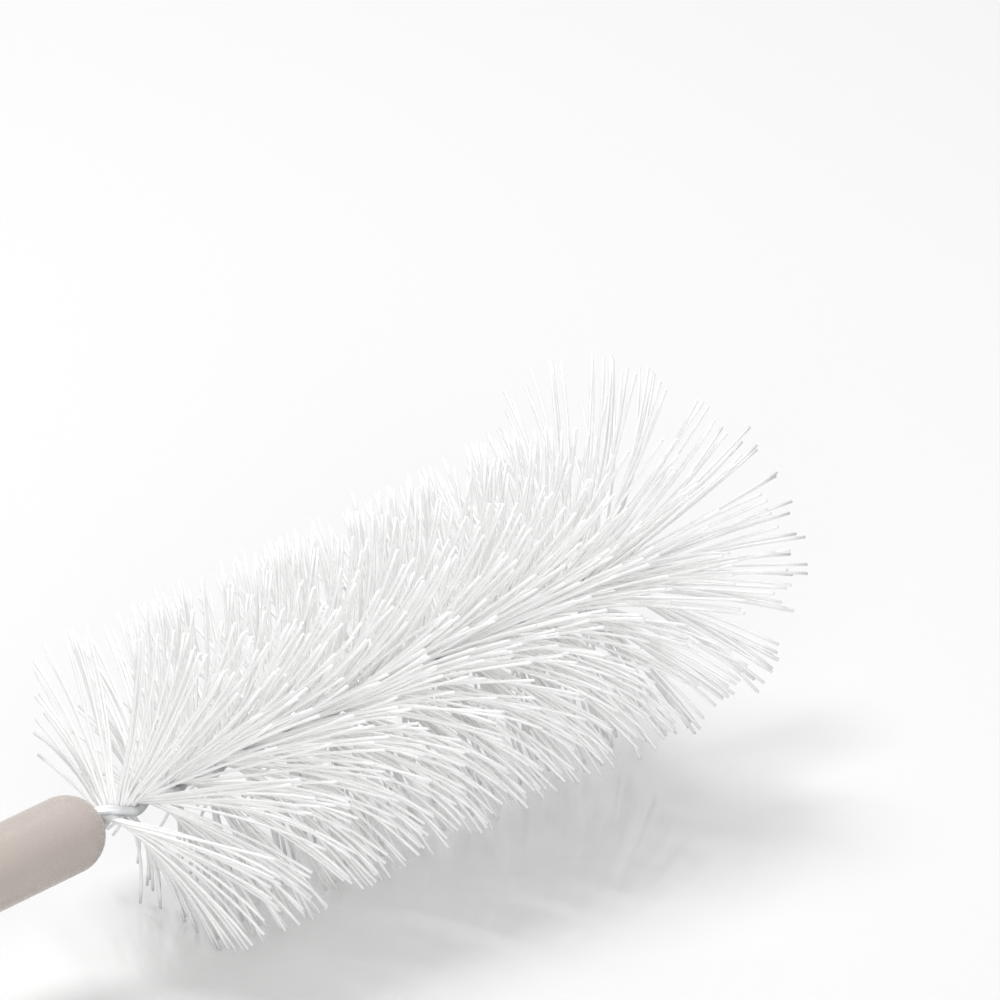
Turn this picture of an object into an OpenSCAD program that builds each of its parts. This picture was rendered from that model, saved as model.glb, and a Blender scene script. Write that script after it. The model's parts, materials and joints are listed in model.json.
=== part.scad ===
// Bottle brush: a wire folded in half and twisted over nylon filaments, in a moulded rod handle.
//
// The brush lies at rest on the plane z = 0, on the butt of its handle and on the splayed
// filaments under its head. The origin is below the middle of its length, and +X points
// from the handle to the tip.
//
// Each sub-part is drawn in brush space first: the axis of the brush is Z, z = 0 is the nose
// of the handle, the head is above it, and +X is the side that faces down once the brush lies.

/* [Handle] */
// Diameter of the rod
handle_d = 11; // [8:0.5:16]
// Length of the handle from its rounded butt to its rounded nose
handle_length = 226; // [120:2:300]
// Depth of the socket in the nose that holds the wire
socket_depth = 32; // [20:1:60]
// Gap between the twisted wire and the wall of its socket
socket_clearance = 0.05; // [0.02:0.01:0.1]

/* [Wire] */
// Diameter of the wire, which is folded once and twisted into two strands
wire_d = 1.4; // [1:0.1:1.8]
// Twist of the wire along the head, in turns
turns = 6.65; // [5:0.05:9]
// Direction in which the filaments end their turns, from the side that faces down
last_direction = 147; // [0:1:180]
// Length of wire left untwisted at the fold, as an eye for the tip tuft
eye_length = 5.5; // [5:0.1:8]

/* [Filaments] */
// Diameter of one nylon filament
filament_d = 0.45; // [0.3:0.05:0.5]
// Distance along the axis from one filament to the next, as a multiple of the diameter
filament_spacing = 1.15; // [1.1:0.05:1.6]
// Play between a filament and what lies beside it in the clamp
filament_play = 0.03; // [0.02:0.01:0.06]
// Largest angle by which an arm fans out of the plane of the clamp
widest_fan = 25; // [20:1:30]

/* [Head] */
// Diameter of the head
head_d = 50; // [36:1:60]
// Length of the twisted clamp that carries the filaments
head_length = 92; // [70:1:140]
// Bare wire between the nose of the handle and the first filament
bare_wire = 1; // [0.5:0.5:10]
// Lean of an arm, between the axis and the straight line from its root to its tip
arm_lean = 67; // [62:1:76]
// Bend of an arm from its root to its tip
arm_curl = 22; // [12:1:28]
// Lean of the very first arms, which stand nearly upright beside the handle
first_lean = 81; // [76:1:84]
// Length along the axis over which the first arms pass into the others
first_pass = 5; // [3:0.5:8]
// Lean of the very last arms, which nothing holds up from in front
last_lean = 56; // [54:1:66]
// Bend of the very first and the very last arms
end_curl = 6; // [4:1:8]
// How much shorter the shortest arms are than the longest, as a share of their length
trim_scatter = 0.05; // [0:0.01:0.1]
// How much longer the arms of the last turn are, as a share of their length
collar_growth = 0.15; // [0:0.01:0.2]
// How far the filaments under the head are pressed in where they carry it
splay = 1.5; // [1:0.1:2.5]

/* [Tip tuft] */
// Length of the straight arms that fan forward from the fold of the wire
tuft_length = 30; // [20:1:34]
// Lean of the outermost arms of the tuft
tuft_lean = 30; // [20:1:36]
// Largest angle by which an arm of the tuft fans out of the plane of the eye
tuft_fan = 60; // [40:5:70]

/* [Hidden] */
$fn = 48;
WIRE_SIDES = 8;
RINGS_PER_TURN = 12;
FOLD_RINGS = 8;

// Steps of the golden ratio and of two other ratios spread values evenly without a pattern.
GOLDEN = 0.618034;
SILVER = 0.414214;
PLASTIC = 0.754878;

rows = round(2 * turns);
row_length = head_length / rows;
pitch = head_length / turns;
// A filament is a little thicker where the strands squeeze it.
squeezed_d = 1.1 * filament_d;
step = filament_d * filament_spacing;
filaments_per_row = floor(row_length / step);
row_step = row_length / filaments_per_row;

// The two strands lie on either side of two layers of filaments.
layer_offset = squeezed_d / 2 + filament_play / 2;
strand_offset = 2 * layer_offset + filament_play / 2 + wire_d / 2;
bundle_r = strand_offset + wire_d / 2;
clamp_half = wire_d / 2;
// The arms of a filament start inside the ends of its clamped middle.
root_depth = filament_d / 2;
root_reach = clamp_half - root_depth;
root_lean = last_lean - end_curl / 2;
// Neighbours of the two layers fan apart by at least the twist between them.
least_fan = 180 * row_step / pitch + 2;

head_start = bare_wire;
head_end = head_start + head_length;
fold_z = head_end + eye_length;

// The brush lies on the butt's sphere and on the first row, which is pressed in by splay.
handle_r = handle_d / 2;
rest_reach = handle_length - handle_r + head_start;
rest_radius = head_d / 2 - splay;
tilt = atan2(rest_radius, rest_reach) - asin(handle_r / norm([rest_radius, rest_reach]));
nose_height = handle_r + (handle_length - handle_r) * sin(tilt);
tip_z = fold_z + tuft_length;
butt_x = handle_r + (handle_length - handle_r) * cos(tilt);
middle_x = (tip_z * cos(tilt) - butt_x) / 2;

function two_digits(i) = str(i < 10 ? "0" : "", i);
function row_name(i) = str("bristle_row_", two_digits(i));

function share(x) = x - floor(x);
function mix(a, b, t) = a + (b - a) * t;
function slit_angle(z) = last_direction + 360 * min(z - head_end, 0) / pitch;

// Moves what is drawn in brush space to where the brush lies.
module at_rest() {
  translate([-middle_x, 0, nose_height]) rotate([0, 90 - tilt, 0]) children();
}

// ---- handle ----

// A rod with a rounded nose and butt, and the blind socket that the wire is moulded into.
module handle() {
  color("#beb4ac") at_rest() difference() {
    rotate_extrude() handle_outline();
    translate([0, 0, -socket_depth])
      cylinder(r = bundle_r + socket_clearance, h = socket_depth + handle_r);
  }
}

// Half of the rod's section, on the right of the axis.
module handle_outline() {
  translate([0, -handle_length + handle_r]) square([handle_r, handle_length - handle_d]);
  for (z = [-handle_r, -handle_length + handle_r])
    translate([0, z]) intersection() {
      circle(handle_r);
      translate([0, -handle_r]) square(handle_d);
    }
}

// ---- twisted wire ----

// One wire: up the first strand, round the fold and down the second strand.
module twisted_wire() {
  path = wire_path();
  color("#b9bcc0") at_rest() polyhedron(tube_points(path), tube_faces(len(path)));
}

function across(angle) = [cos(angle), sin(angle), 0];
function strand_point(z, side) =
  strand_offset * side * across(slit_angle(z) + 90) + [0, 0, z];

// Each stop on the wire is a point with the direction of the filaments there, which lies
// across the wire and so keeps the rings of the tube from turning.
function wire_path() = let (
  tail_z = -socket_depth + socket_clearance,
  step_count = ceil((head_end - tail_z) / pitch * RINGS_PER_TURN),
  heights = [
    for (i = [0:step_count]) mix(tail_z, head_end, i / step_count),
    mix(head_end, fold_z, 0.5)
  ],
  last = slit_angle(head_end)
) concat(
  [for (z = heights) [strand_point(z, 1), across(slit_angle(z))]],
  [for (i = [0:FOLD_RINGS]) let (a = 180 * i / FOLD_RINGS)
    [strand_offset * (cos(a) * across(last + 90) + [0, 0, sin(a)]) + [0, 0, fold_z],
      across(last)]],
  [for (i = [len(heights) - 1:-1:0])
    [strand_point(heights[i], -1), across(slit_angle(heights[i]))]]
);

function unit(v) = v / norm(v);
function tangent(path, i) =
  unit(path[min(i + 1, len(path) - 1)][0] - path[max(i - 1, 0)][0]);

// Rings of points round the path, one after the other.
function tube_points(path) = [
  for (i = [0:len(path) - 1]) let (
    ahead = tangent(path, i),
    side = unit(path[i][1] - (path[i][1] * ahead) * ahead),
    out = cross(side, ahead)
  ) for (j = [0:WIRE_SIDES - 1]) let (a = 360 * j / WIRE_SIDES)
    path[i][0] + wire_d / 2 * (cos(a) * out + sin(a) * side)
];

function ring_point(i, j) = i * WIRE_SIDES + j % WIRE_SIDES;
function tube_faces(count) = concat(
  [[for (j = [0:WIRE_SIDES - 1]) ring_point(0, j)]],
  [for (i = [0:count - 2], j = [0:WIRE_SIDES - 1])
    [ring_point(i, j), ring_point(i + 1, j), ring_point(i, j + 1)]],
  [for (i = [0:count - 2], j = [0:WIRE_SIDES - 1])
    [ring_point(i + 1, j), ring_point(i + 1, j + 1), ring_point(i, j + 1)]],
  [[for (j = [WIRE_SIDES - 1:-1:0]) ring_point(count - 1, j)]]
);

// ---- bristle rows ----

// About half a turn of the clamp, with the filaments that it holds.
module bristle_row(i) {
  color("white") at_rest()
    for (k = [(i - 1) * filaments_per_row:i * filaments_per_row - 1])
      filament(k, head_start + (k + 0.5) * row_step);
}

// One filament: a straight middle between the strands, and an arm on either side. Filaments
// lie by turns in two layers, and each layer fans out to its own side, so that none meet.
module filament(k, z) {
  layer = k % 2 == 0 ? 1 : -1;
  translate([0, 0, z]) rotate(slit_angle(z)) translate([0, layer * layer_offset, 0]) {
    clamped_middle(clamp_half);
    for (side = [0, 1]) {
      turned = slit_angle(z) + 180 * side;
      fan = layer * (1 - 2 * side) * mix(least_fan, widest_fan, share((2 * k + side) * GOLDEN));
      root_down = root_reach * cos(turned) - layer * layer_offset * sin(slit_angle(z));
      rotate(180 * side) translate([root_reach, 0, 0]) rotate(fan)
        resting_arm(z, root_down, turned + fan, share((2 * k + side) * SILVER));
    }
  }
}

// The straight stretch of a filament in the clamp, which also holds the roots of its arms.
module clamped_middle(half) {
  rotate([0, 90, 0]) cylinder(d = squeezed_d, h = 2 * half, center = true);
}

// An arm that points to the azimuth and leans on the bench if it reaches. Its root is at
// height z in brush space, and root_down from the axis on the side that faces down.
module resting_arm(z, root_down, azimuth, trim) {
  in = exp(-(z - head_start) / first_pass);
  out = max(0, 1 - (head_end - z) / pitch);
  growth = out > 0 ? collar_growth : 0;
  trimmed_lean = mix(arm_lean, first_lean, in);
  curl = mix(arm_curl, end_curl, max(in, out));
  // The head is cut to its diameter, and then the last arms sink forward.
  reach = head_d / 2 - root_reach;
  chord = reach / sin(trimmed_lean) * (1 + growth) * (1 - trim_scatter * trim);
  lean = mix(trimmed_lean, last_lean, out);
  // The slope of the tip hardly moves its rim, so two passes settle the lean.
  pressed_lean = resting_lean(z, root_down, azimuth, chord, lean, curl);
  arm(chord, resting_lean(z, root_down, azimuth, chord, pressed_lean, curl), curl);
}

// The lean that brings the rim of the tip down to the bench, or the given one if that is less.
function resting_lean(z, root_down, azimuth, chord, lean, curl) = let (
  rise = sin(tilt),
  drop = cos(tilt) * cos(azimuth),
  root = nose_height + z * sin(tilt) - root_down * cos(tilt),
  fall = drop * sin(lean + curl / 2) - rise * cos(lean + curl / 2),
  rim = filament_d / 2 * sqrt(1 - fall * fall),
  need = (rim - root) / chord / norm([rise, drop])
) drop <= 0 || need <= -1 ? lean : min(lean, acos(need) - atan2(drop, rise));

// An arc in the XZ plane from the origin. The chord leans by the given angle from Z, and the
// arc bends by curl from the root to the tip, away from Z.
module arm(chord, lean, curl) {
  bend_r = chord / 2 / sin(curl / 2);
  start = lean - curl / 2;
  translate(bend_r * [cos(start), 0, -sin(start)])
    mirror([1, 0, 0]) rotate([0, -start, 0]) rotate([90, 0, 0])
      rotate_extrude(angle = curl) translate([bend_r, 0]) circle(d = filament_d);
}

// ---- tip tuft ----

// From one filament of a layer to the next; the two layers are half a step apart.
tuft_step = squeezed_d + 2 * filament_play;
elbow_r = filament_d;
// The outermost arms start in front of the last arms of the twist, which lean forward too.
tuft_depth = (eye_length - 2 * filament_d) / (1 + 1 / tan(root_lean));
tuft_filaments = floor(tuft_depth / tuft_step);

// Filaments through the eye of the folded wire. Their arms turn forward round the fold, each
// outside the one before it, and spread to the two sides by layers.
module tip_tuft() {
  color("white") at_rest() rotate(slit_angle(head_end))
    for (layer = [1, -1], j = [0:tuft_filaments - 1]) tuft_filament(layer, j);
}

module tuft_filament(layer, j) {
  back = (j + (1 - layer) / 4) * tuft_step;
  reach = clamp_half + back;
  z = fold_z - squeezed_d / 2 - back;
  lean = mix(3, tuft_lean, j / (tuft_filaments - 1));
  translate([0, layer * layer_offset, z]) {
    clamped_middle(reach + root_depth);
    for (side = [0, 1]) {
      k = 2 * j + side;
      fan = layer * (1 - 2 * side) * mix(least_fan, tuft_fan, share(k * PLASTIC));
      rotate(180 * side) translate([reach, 0, 0]) rotate(fan)
        forward_arm(lean, tuft_length * (1 - trim_scatter * share(k * SILVER)));
    }
  }
}

// A straight arm in the XZ plane that leans from Z, on an elbow that leaves the origin along X.
module forward_arm(lean, length) {
  bend = 90 - lean;
  translate([0, 0, elbow_r]) rotate([90, 0, 0]) rotate(-90)
    rotate_extrude(angle = bend) translate([elbow_r, 0]) circle(d = filament_d);
  translate(elbow_r * [sin(bend), 0, 1 - cos(bend)]) rotate([0, lean, 0])
    cylinder(d = filament_d, h = length);
}

handle();
twisted_wire();
for (i = [1:rows]) bristle_row(i);
tip_tuft();
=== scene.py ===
import json
import math
import random

import bpy
import numpy as np
from mathutils import Matrix, Vector


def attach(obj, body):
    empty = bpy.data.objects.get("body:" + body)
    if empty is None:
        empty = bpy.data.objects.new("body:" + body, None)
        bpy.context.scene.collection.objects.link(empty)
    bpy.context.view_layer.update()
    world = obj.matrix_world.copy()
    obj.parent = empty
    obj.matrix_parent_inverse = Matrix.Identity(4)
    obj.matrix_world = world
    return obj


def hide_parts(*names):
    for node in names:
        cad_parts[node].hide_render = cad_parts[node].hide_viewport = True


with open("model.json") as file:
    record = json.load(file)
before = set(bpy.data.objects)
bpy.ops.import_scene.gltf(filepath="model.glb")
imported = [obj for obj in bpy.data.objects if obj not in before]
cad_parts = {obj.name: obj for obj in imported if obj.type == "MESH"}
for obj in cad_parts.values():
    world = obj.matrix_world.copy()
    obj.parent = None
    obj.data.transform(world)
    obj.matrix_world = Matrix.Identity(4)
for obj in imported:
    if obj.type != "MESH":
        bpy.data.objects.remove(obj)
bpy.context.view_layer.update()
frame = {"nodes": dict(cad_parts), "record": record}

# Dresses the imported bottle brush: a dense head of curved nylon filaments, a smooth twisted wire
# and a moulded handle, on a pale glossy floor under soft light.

MM = 0.001

# ---- sizes in millimetres, angles in degrees unless they say otherwise ----

GRIP = next(m for m in frame["record"]["mounts"] if m["name"] == "handle_grip")
HANDLE_R = GRIP["dims"]["r_mm"]
HANDLE_LENGTH = GRIP["dims"]["length_mm"] + 2 * HANDLE_R
SOCKET_DEPTH = 32.0
SOCKET_PLAY = 0.05
MOUTH_CHAMFER = 0.25
MOULD_LINE_HEIGHT = 0.045
MOULD_LINE_REACH = 1.3
MOULD_LINE_STOPS = (-2.4, -1.2, -0.5, 0.5, 1.2, 2.4)
HALF_ROUND_STEPS = 40
HANDLE_RINGS = 60
NOSE_RINGS = 20
BUTT_RINGS = 16

WIRE_R = 0.7
WIRE_SIDES = 16
STRAND_OFFSET = 1.2
STRAND_STEPS = 400
FOLD_STEPS = 24
TAIL_GAP = 0.1
HEAD_START = 1.0
HEAD_LENGTH = 92.0
HEAD_END = HEAD_START + HEAD_LENGTH
TURNS = 6.65
PITCH = HEAD_LENGTH / TURNS
LAST_DIRECTION = math.radians(147)
EYE_LENGTH = 5.5
FOLD = HEAD_END + EYE_LENGTH

ROWS = 13
ROW_LENGTH = HEAD_LENGTH / ROWS
HEAD_R = 25.0
FILAMENT_R = 0.225
FILAMENT_SIDES = 8
ARM_STEPS = 8
FILAMENTS_PER_ROW = 52
HALF_SLIT = 0.42
ROW_SEED = 100

# Arms lean from the axis. The scatters are standard deviations.
ARM_LEAN = 67
ARM_CURL = 22
LEAST_CURL = 2.0
END_CURL_LOSS = 12
LEAN_SCATTER = 3
CURL_SCATTER = 5
AZIMUTH_SCATTER = 9
BOW_SCATTER = 7
TRIM_SCATTER = 0.03

# Next to the handle the upper arms stand straighter, over about this length.
FIRST_LENGTH = 5.0
FIRST_EXTRA_LEAN = 18

# In the collar at the tip the arms are longer, lie further forward and scatter less.
COLLAR_LENGTH = 12.0
LAST_LEAN = 44
UPPER_SHARE = 0.25
COLLAR_GROWTH = 1.17
UPPER_GROWTH = 0.12
COLLAR_SCATTER_LOSS = 4

# The filaments of the tuft cross the eye below the fold, one under another.
TUFT_FILAMENTS = 8
TUFT_SEED = 7
TUFT_DROP = 0.3
TUFT_SPAN = 1.2
TUFT_HALF_SLIT = 0.4
TUFT_ROOT_SPREAD = 0.6
TUFT_LENGTH = 31
TUFT_LEAST_LEAN = 2
TUFT_SPREAD = 23
TUFT_LEAN_SCATTER = 1
TUFT_AZIMUTH_SCATTER = 14
TUFT_TRIM_SCATTER = 0.02
TUFT_CURLS = (2, 9)

# An arm that would pass through the floor is laid forward in steps, in radians.
FORWARD_STEP = 0.01
MOST_FORWARD = 0.3

# ---- brush space ----

# In brush space Z runs along the axis from the nose of the handle, and X is the side that
# faces down.
tip_ward = -Vector(GRIP["axis"]).normalized()
nose = Vector(GRIP["pos_m"]) + tip_ward * HANDLE_LENGTH / 2 * MM
side_ward = Vector((0, 1, 0))
down_ward = side_ward.cross(tip_ward)
AXES = np.array([down_ward, side_ward, tip_ward])
NOSE = np.array(nose)


def to_world(points):
    """Moves points from brush space, in millimetres, to the row frame, in metres."""
    return np.asarray(points, float) @ AXES * MM + NOSE


def slit_angle(z):
    """The direction of the filaments in the clamp, in radians round the axis."""
    return LAST_DIRECTION + 2 * math.pi * min(z - HEAD_END, 0) / PITCH


def round_axis(angle):
    """A direction square to the axis."""
    return np.array([math.cos(angle), math.sin(angle), 0.0])


# ---- meshes ----

def new_piece(name, points, faces, flat_faces=0):
    """A smooth mesh piece from world points. The last flat_faces of its faces stay flat."""
    mesh = bpy.data.meshes.new(name)
    mesh.from_pydata(points.tolist(), [], faces)
    smooth = np.ones(len(faces), bool)
    if flat_faces:
        smooth[-flat_faces:] = False
    mesh.polygons.foreach_set("use_smooth", smooth)
    mesh.update()
    piece = bpy.data.objects.new(name, mesh)
    bpy.context.scene.collection.objects.link(piece)
    return piece


def ring_offsets(path, radius, sides, across):
    """Rings of points round a path. across is a direction that the path never follows."""
    ahead = np.gradient(path, axis=0)
    ahead /= np.linalg.norm(ahead, axis=1)[:, None]
    side = across - (across * ahead).sum(axis=1)[:, None] * ahead
    side /= np.linalg.norm(side, axis=1)[:, None]
    out = np.cross(ahead, side)
    angles = np.arange(sides) * 2 * math.pi / sides
    return radius * (np.cos(angles)[None, :, None] * side[:, None, :]
                     + np.sin(angles)[None, :, None] * out[:, None, :])


def ring_faces(rings, sides):
    """The faces between rings of points that follow one another."""
    faces = []
    for i in range(rings - 1):
        for j in range(sides):
            k = (j + 1) % sides
            faces.append((i * sides + j, i * sides + k, (i + 1) * sides + k, (i + 1) * sides + j))
    return faces


def tube(path, radius, sides, across):
    """Points and side faces of a tube round a path, and its two end caps."""
    points = (path[:, None, :] + ring_offsets(path, radius, sides, across)).reshape(-1, 3)
    faces = ring_faces(len(path), sides)
    last = (len(path) - 1) * sides
    caps = [tuple(range(sides - 1, -1, -1)), tuple(range(last, last + sides))]
    return points, faces, caps


def join_tubes(tubes):
    """All the tubes as one set of points and faces, with the caps last."""
    points, faces, caps, start = [], [], [], 0
    for tube_points, tube_faces, tube_caps in tubes:
        points.append(tube_points)
        faces += [tuple(start + n for n in face) for face in tube_faces]
        caps += [tuple(start + n for n in cap) for cap in tube_caps]
        start += len(tube_points)
    return np.concatenate(points), faces + caps, len(caps)


# ---- handle ----

def handle_profile():
    """Stops from the butt to the nose and down the socket, each a height and a radius."""
    stops = []
    for i in range(BUTT_RINGS + 1):
        a = math.pi / 2 * i / BUTT_RINGS
        stops.append((-HANDLE_LENGTH + HANDLE_R * (1 - math.cos(a)), HANDLE_R * math.sin(a)))
    for i in range(1, HANDLE_RINGS):
        z = -HANDLE_LENGTH + HANDLE_R + (HANDLE_LENGTH - 2 * HANDLE_R) * i / HANDLE_RINGS
        stops.append((z, HANDLE_R))
    bore = STRAND_OFFSET + WIRE_R + SOCKET_PLAY
    mouth = bore + MOUTH_CHAMFER
    top = math.acos(mouth / HANDLE_R)
    for i in range(NOSE_RINGS + 1):
        a = top * i / NOSE_RINGS
        stops.append((-HANDLE_R + HANDLE_R * math.sin(a), HANDLE_R * math.cos(a)))
    edge = stops[-1][0]
    # The mouth has a small rounded edge.
    stops += [(edge + 0.02, mouth - 0.1), (edge - 0.08, bore), (edge - 1.5, bore),
              (-SOCKET_DEPTH, bore), (-SOCKET_DEPTH, 0.0)]
    return stops


def make_handle():
    """A round rod with the two faint lines that its mould left along it, above and below."""
    stops = handle_profile()
    beside = MOULD_LINE_STOPS[-1]
    turns = list(MOULD_LINE_STOPS)
    turns += [beside + (180 - 2 * beside) * i / HALF_ROUND_STEPS
              for i in range(1, HALF_ROUND_STEPS)]
    angles = [half + math.radians(turn) for half in (0, math.pi) for turn in turns]
    points = []
    for z, r in stops[1:-1]:
        for a in angles:
            off = abs(math.remainder(a, math.pi))
            ridge = MOULD_LINE_HEIGHT * max(0.0, 1 - (math.degrees(off) / MOULD_LINE_REACH) ** 2)
            # A line ends before the middle of the butt and before the socket.
            if r < HANDLE_R * 0.5:
                ridge = 0.0
            points.append((r + ridge) * round_axis(a) + np.array([0, 0, z]))
    butt_middle = len(points)
    socket_middle = butt_middle + 1
    points += [np.array([0, 0, stops[0][0]]), np.array([0, 0, stops[-1][0]])]
    count = len(angles)
    rings = len(stops) - 2
    faces = ring_faces(rings, count)
    last = (rings - 1) * count
    for j in range(count):
        k = (j + 1) % count
        faces.append((butt_middle, k, j))
        faces.append((last + j, last + k, socket_middle))
    return new_piece("moulded_handle", to_world(points), faces)


# ---- wire ----

def strand_point(z, side):
    """The centre of one strand (side 1 or -1) at a height."""
    return STRAND_OFFSET * side * round_axis(slit_angle(z) + math.pi / 2) + np.array([0, 0, z])


def make_wire():
    """One wire: up the first strand, round the fold and down the second."""
    tail = -SOCKET_DEPTH + TAIL_GAP
    heights = np.linspace(tail, HEAD_END, STRAND_STEPS).tolist() + [(HEAD_END + FOLD) / 2]
    path = [strand_point(z, 1) for z in heights]
    across = [round_axis(slit_angle(z)) for z in heights]
    last = slit_angle(FOLD)
    for i in range(FOLD_STEPS + 1):
        a = math.pi * i / FOLD_STEPS
        path.append(STRAND_OFFSET * (math.cos(a) * round_axis(last + math.pi / 2)
                                     + np.array([0, 0, math.sin(a)])) + np.array([0, 0, FOLD]))
        across.append(round_axis(last))
    path += [strand_point(z, -1) for z in reversed(heights)]
    across += [round_axis(slit_angle(z)) for z in reversed(heights)]
    points, faces, caps = tube(np.array(path), WIRE_R, WIRE_SIDES, np.array(across))
    return new_piece("steel_wire", to_world(points), faces + caps, len(caps))


# ---- filaments ----

def arm_path(root, azimuth, lean, curl, bow, chord):
    """A bent arm from its root: it leans from the axis by lean at its middle, and bends by curl
    away from the axis and by bow round it."""
    steps = (np.arange(ARM_STEPS) + 0.5) / ARM_STEPS
    leans = lean + curl * (steps - 0.5)
    azimuths = azimuth + bow * (steps - 0.5)
    ahead = np.stack([np.sin(leans) * np.cos(azimuths), np.sin(leans) * np.sin(azimuths),
                      np.cos(leans)], axis=1)
    length = chord * (curl / 2) / math.sin(curl / 2)
    return root + np.cumsum(ahead, axis=0) * length / ARM_STEPS


def height(points):
    """How high the lowest of these points in brush space lies over the floor."""
    return to_world(points)[:, 2].min() / MM


def resting_arm(root, azimuth, lean, curl, bow, chord):
    """An arm that lies forward as far as it takes to stay on the floor."""
    path = arm_path(root, azimuth, lean, curl, bow, chord)
    while height(path) < FILAMENT_R and lean > MOST_FORWARD:
        lean -= FORWARD_STEP
        path = arm_path(root, azimuth, lean, curl, bow, chord)
    return path


def through(middle, arms):
    """One path from the tip of the first arm, through the middle, to the tip of the second."""
    return np.concatenate([arms[0][::-1], [middle], arms[1]])


def filament(z, rng):
    """The path of one filament, from tip to tip through the clamp."""
    theta = slit_angle(z)
    across = round_axis(theta + math.pi / 2)
    depth = rng.uniform(-HALF_SLIT, HALF_SLIT)
    collar = max(0.0, 1 - (HEAD_END - z) / COLLAR_LENGTH)
    middle = np.array([0, 0, z]) + depth * across
    arms = []
    for side in (0, math.pi):
        root = middle + WIRE_R * round_axis(theta + side)
        # Both ends of the head differ most on the upper side.
        upward = math.cos(theta + side - LAST_DIRECTION)
        first = math.exp(-(z - HEAD_START) / FIRST_LENGTH) * max(0.0, upward) ** 4
        last = collar ** 2 * (1 - UPPER_SHARE + UPPER_SHARE * upward)
        middle_lean = ARM_LEAN + FIRST_EXTRA_LEAN * first
        lean = middle_lean * (1 - last) + LAST_LEAN * last + rng.gauss(0, LEAN_SCATTER)
        curl = ARM_CURL - END_CURL_LOSS * max(first, last) + rng.gauss(0, CURL_SCATTER)
        turned = rng.gauss(0, AZIMUTH_SCATTER - COLLAR_SCATTER_LOSS * collar)
        azimuth = theta + side + math.radians(turned)
        bow = math.radians(rng.gauss(0, BOW_SCATTER))
        chord = (HEAD_R - WIRE_R) / math.sin(math.radians(middle_lean))
        growth = COLLAR_GROWTH + UPPER_GROWTH * upward if collar else 1.0
        chord *= growth * (1 - abs(rng.gauss(0, TRIM_SCATTER)))
        lean, curl = math.radians(lean), math.radians(max(LEAST_CURL, curl))
        arms.append(resting_arm(root, azimuth, lean, curl, bow, chord))
    return through(middle, arms)


def filament_tube(path):
    """A tube with blunt ends round a filament's path."""
    ahead = path[-1] - path[0]
    across = np.cross(ahead, [0, 0, 1.0])
    return tube(path, FILAMENT_R, FILAMENT_SIDES, np.tile(across, (len(path), 1)))


def make_row(row):
    """The filaments of one half turn."""
    rng = random.Random(ROW_SEED + row)
    start = HEAD_START + row * ROW_LENGTH
    step = ROW_LENGTH / FILAMENTS_PER_ROW
    tubes = [filament_tube(filament(start + (k + rng.random()) * step, rng))
             for k in range(FILAMENTS_PER_ROW)]
    points, faces, caps = join_tubes(tubes)
    piece = new_piece(f"bristles_{row + 1:02d}", to_world(points), faces, caps)
    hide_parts(f"bristle_row_{row + 1:02d}")
    return piece


def tuft_filament(k, rng):
    """A filament of the tuft: through the eye, and forward on both sides."""
    share = (k + rng.random()) / TUFT_FILAMENTS
    last = slit_angle(FOLD)
    z = FOLD - TUFT_DROP - TUFT_SPAN * share
    depth = rng.uniform(-TUFT_HALF_SLIT, TUFT_HALF_SLIT)
    middle = np.array([0, 0, z]) + depth * round_axis(last + math.pi / 2)
    arms = []
    for side in (0, math.pi):
        root = middle + (WIRE_R + TUFT_ROOT_SPREAD * share) * round_axis(last + side)
        lean = TUFT_LEAST_LEAN + TUFT_SPREAD * share + rng.gauss(0, TUFT_LEAN_SCATTER)
        azimuth = last + side + math.radians(rng.gauss(0, TUFT_AZIMUTH_SCATTER))
        chord = TUFT_LENGTH * (1 - abs(rng.gauss(0, TUFT_TRIM_SCATTER)))
        curl = math.radians(rng.uniform(*TUFT_CURLS))
        arms.append(arm_path(root, azimuth, math.radians(lean), curl, 0.0, chord))
    return through(middle, arms)


def make_tuft():
    rng = random.Random(TUFT_SEED)
    tubes = [filament_tube(tuft_filament(k, rng)) for k in range(TUFT_FILAMENTS)]
    points, faces, caps = join_tubes(tubes)
    piece = new_piece("tuft", to_world(points), faces, caps)
    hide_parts("tip_tuft")
    return piece


# ---- materials ----

WHITE = (1, 1, 1, 1)
FLOOR_TONE = 0.76
FLOOR_GLOW = 0.07


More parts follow.
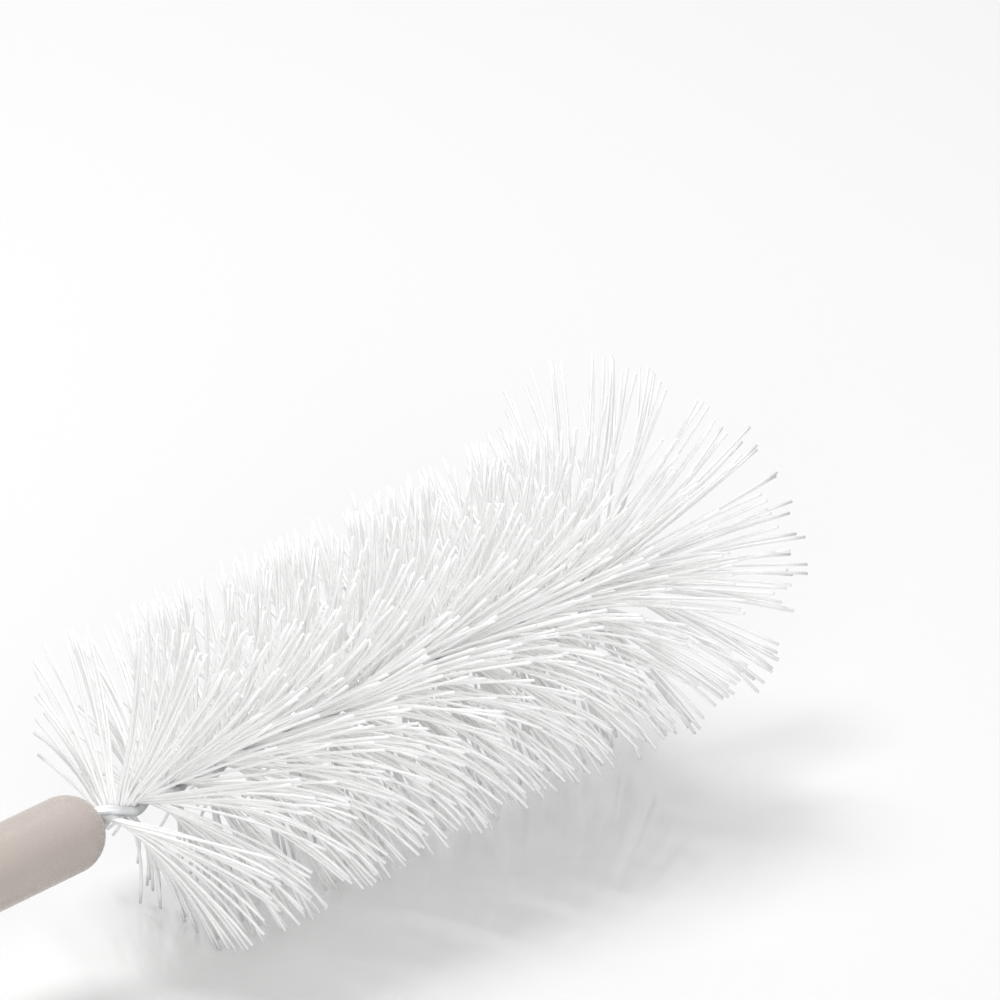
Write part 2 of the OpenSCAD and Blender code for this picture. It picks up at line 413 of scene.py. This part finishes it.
class Shader:
    """A material whose nodes are added one call at a time."""

    def __init__(self, name):
        self.material = bpy.data.materials.new(name)
        self.material.use_nodes = True
        self.tree = self.material.node_tree
        self.principled = self.tree.nodes["Principled BSDF"]
        self.place = self.add("ShaderNodeTexCoord").outputs["Object"]

    def add(self, kind, **values):
        node = self.tree.nodes.new(kind)
        for key, value in values.items():
            setattr(node, key, value)
        return node

    def link(self, source, target):
        self.tree.links.new(source, target)

    def set(self, **values):
        for key, value in values.items():
            self.principled.inputs[key.replace("_", " ")].default_value = value

    def feed(self, value, name):
        """Links a value to an input of the surface."""
        self.link(value, self.principled.inputs[name])

    def noise(self, scale, detail=2.0):
        node = self.add("ShaderNodeTexNoise")
        node.inputs["Scale"].default_value = scale
        node.inputs["Detail"].default_value = detail
        self.link(self.place, node.inputs["Vector"])
        return node.outputs["Fac"]

    def ramp(self, value, stops):
        node = self.add("ShaderNodeValToRGB")
        elements = node.color_ramp.elements
        while len(elements) < len(stops):
            elements.new(0.5)
        for element, (position, colour) in zip(elements, stops):
            element.position = position
            element.color = (*colour, 1)
        self.link(value, node.inputs["Fac"])
        return node.outputs["Color"]

    def range(self, value, low, high):
        """Stretches the middle of a noise from low to high."""
        node = self.add("ShaderNodeMapRange")
        node.inputs["From Min"].default_value = 0.3
        node.inputs["From Max"].default_value = 0.7
        node.inputs["To Min"].default_value = low
        node.inputs["To Max"].default_value = high
        self.link(value, node.inputs["Value"])
        return node.outputs["Result"]

    def bump(self, value, strength, distance):
        node = self.add("ShaderNodeBump")
        node.inputs["Strength"].default_value = strength
        node.inputs["Distance"].default_value = distance
        self.link(value, node.inputs["Height"])
        self.feed(node.outputs["Normal"], "Normal")


def satin_plastic():
    shader = Shader("satin_plastic")
    shader.set(IOR=1.5, Specular_IOR_Level=0.5)
    tone = shader.noise(60.0, 4.0)
    colour = shader.ramp(tone, [(0.3, (0.470, 0.412, 0.377)), (0.7, (0.510, 0.452, 0.415))])
    shader.feed(colour, "Base Color")
    shader.feed(shader.range(shader.noise(900.0), 0.22, 0.32), "Roughness")
    shader.bump(shader.noise(2600.0, 3.0), 0.05, 0.00003)
    return shader.material


def drawn_steel():
    shader = Shader("drawn_steel")
    shader.set(Metallic=1.0)
    tone = shader.noise(700.0, 3.0)
    colour = shader.ramp(tone, [(0.3, (0.70, 0.71, 0.72)), (0.7, (0.82, 0.83, 0.84))])
    shader.feed(colour, "Base Color")
    shader.feed(shader.range(shader.noise(2500.0), 0.34, 0.50), "Roughness")
    shader.bump(shader.noise(4000.0, 2.0), 0.1, 0.00002)
    return shader.material


def glossy_floor():
    """Pale, with a faint reflection. Only the camera sees its glow, and the shadow stays."""
    shader = Shader("glossy_floor")
    shader.set(Base_Color=(FLOOR_TONE, FLOOR_TONE, FLOOR_TONE, 1), Roughness=0.08, IOR=1.45)
    rays = shader.add("ShaderNodeLightPath")
    glow = shader.add("ShaderNodeMath", operation="MULTIPLY")
    glow.inputs[1].default_value = FLOOR_GLOW
    shader.link(rays.outputs["Is Camera Ray"], glow.inputs[0])
    shader.set(Emission_Color=WHITE)
    shader.feed(glow.outputs["Value"], "Emission Strength")
    return shader.material


# ---- pieces ----

handle = make_handle()
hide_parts("handle")
wire = make_wire()
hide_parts("twisted_wire")
bristles = [make_row(row) for row in range(ROWS)]
bristles.append(make_tuft())

# The filaments keep the plain finish that their nodes have in the frame.
frame_nylon = frame["nodes"]["tip_tuft"].data.materials[0]
dressed = [(handle, satin_plastic(), "handle_plastic"), (wire, drawn_steel(), "wire_steel")]
dressed += [(row, frame_nylon, "nylon") for row in bristles]
for piece, finish, slot in dressed:
    piece.data.materials.append(finish)
    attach(piece, "root")

# ---- stage, in metres ----

KEY = {"place": (0.1, 0.35, 0.95), "size": 0.5, "power": 6.9}
FILL = {"place": (-0.5, -0.8, 0.5), "size": 0.8, "power": 5.4}
WORLD_LIGHT = 0.42
FLOOR_HALF = 3.0

CAMERA_AZIMUTH = math.radians(-41.35)
CAMERA_ELEVATION = math.radians(25.1)
CAMERA_DISTANCE = 1.1
VIEW_WIDTH = 0.1364
# How far the middle of the view lies right of and above the nose of the handle.
VIEW_RIGHT, VIEW_UP = 0.055, 0.0437
SENSOR_WIDTH = 36.0


def add_floor():
    mesh = bpy.data.meshes.new("floor")
    half = FLOOR_HALF
    mesh.from_pydata([(-half, -half, 0), (half, -half, 0), (half, half, 0), (-half, half, 0)], [],
                     [(0, 1, 2, 3)])
    floor = bpy.data.objects.new("floor", mesh)
    floor.data.materials.append(glossy_floor())
    bpy.context.scene.collection.objects.link(floor)


def aim(obj, target):
    obj.rotation_euler = (Vector(target) - obj.location).to_track_quat("-Z", "Y").to_euler()


def add_lamp(name, target, place, size, power):
    """A round, soft lamp, aimed at its target."""
    lamp = bpy.data.lights.new(name, "AREA")
    lamp.shape = "DISK"
    lamp.size = size
    lamp.energy = power
    obj = bpy.data.objects.new(name, lamp)
    obj.location = place
    bpy.context.scene.collection.objects.link(obj)
    aim(obj, target)


def light_world(strength):
    """Soft light from all round, and plain white wherever the background itself is seen."""
    world = bpy.data.worlds.new("studio")
    world.use_nodes = True
    bpy.context.scene.world = world
    nodes, links = world.node_tree.nodes, world.node_tree.links
    light = nodes["Background"]
    light.inputs["Color"].default_value = WHITE
    light.inputs["Strength"].default_value = strength
    white = nodes.new("ShaderNodeBackground")
    white.inputs["Color"].default_value = WHITE
    white.inputs["Strength"].default_value = 1.0
    rays = nodes.new("ShaderNodeLightPath")
    seen = rays.outputs["Is Camera Ray"]
    for ray in ("Is Glossy Ray", "Is Transmission Ray"):
        either = nodes.new("ShaderNodeMath")
        either.operation = "MAXIMUM"
        links.new(seen, either.inputs[0])
        links.new(rays.outputs[ray], either.inputs[1])
        seen = either.outputs["Value"]
    mix = nodes.new("ShaderNodeMixShader")
    links.new(seen, mix.inputs["Fac"])
    links.new(light.outputs["Background"], mix.inputs[1])
    links.new(white.outputs["Background"], mix.inputs[2])
    links.new(mix.outputs["Shader"], nodes["World Output"].inputs["Surface"])


def add_camera():
    """A long lens from above the handle's side, with the nose of the handle low on the left."""
    level = math.cos(CAMERA_ELEVATION)
    right = Vector((math.cos(CAMERA_AZIMUTH), math.sin(CAMERA_AZIMUTH), 0))
    back = Vector((math.sin(CAMERA_AZIMUTH) * level, -math.cos(CAMERA_AZIMUTH) * level,
                   math.sin(CAMERA_ELEVATION)))
    up = back.cross(right)
    centre = nose + VIEW_RIGHT * right + VIEW_UP * up
    camera = bpy.data.objects.new("camera", bpy.data.cameras.new("camera"))
    camera.data.sensor_width = SENSOR_WIDTH
    camera.data.lens = SENSOR_WIDTH * CAMERA_DISTANCE / VIEW_WIDTH
    camera.data.clip_end = 20.0
    turn = Matrix((right, up, back)).transposed().to_4x4()
    camera.matrix_world = Matrix.Translation(centre + back * CAMERA_DISTANCE) @ turn
    bpy.context.scene.collection.objects.link(camera)
    bpy.context.scene.camera = camera


add_floor()
light_world(WORLD_LIGHT)
head = to_world([[0, 0, HEAD_START + HEAD_LENGTH / 2]])[0]
add_lamp("key", head, **KEY)
add_lamp("fill", head, **FILL)
add_camera()
bpy.context.scene.view_settings.view_transform = "Standard"
# Light has to go from filament to filament many times before it leaves the head.
bpy.context.scene.cycles.diffuse_bounces = 12
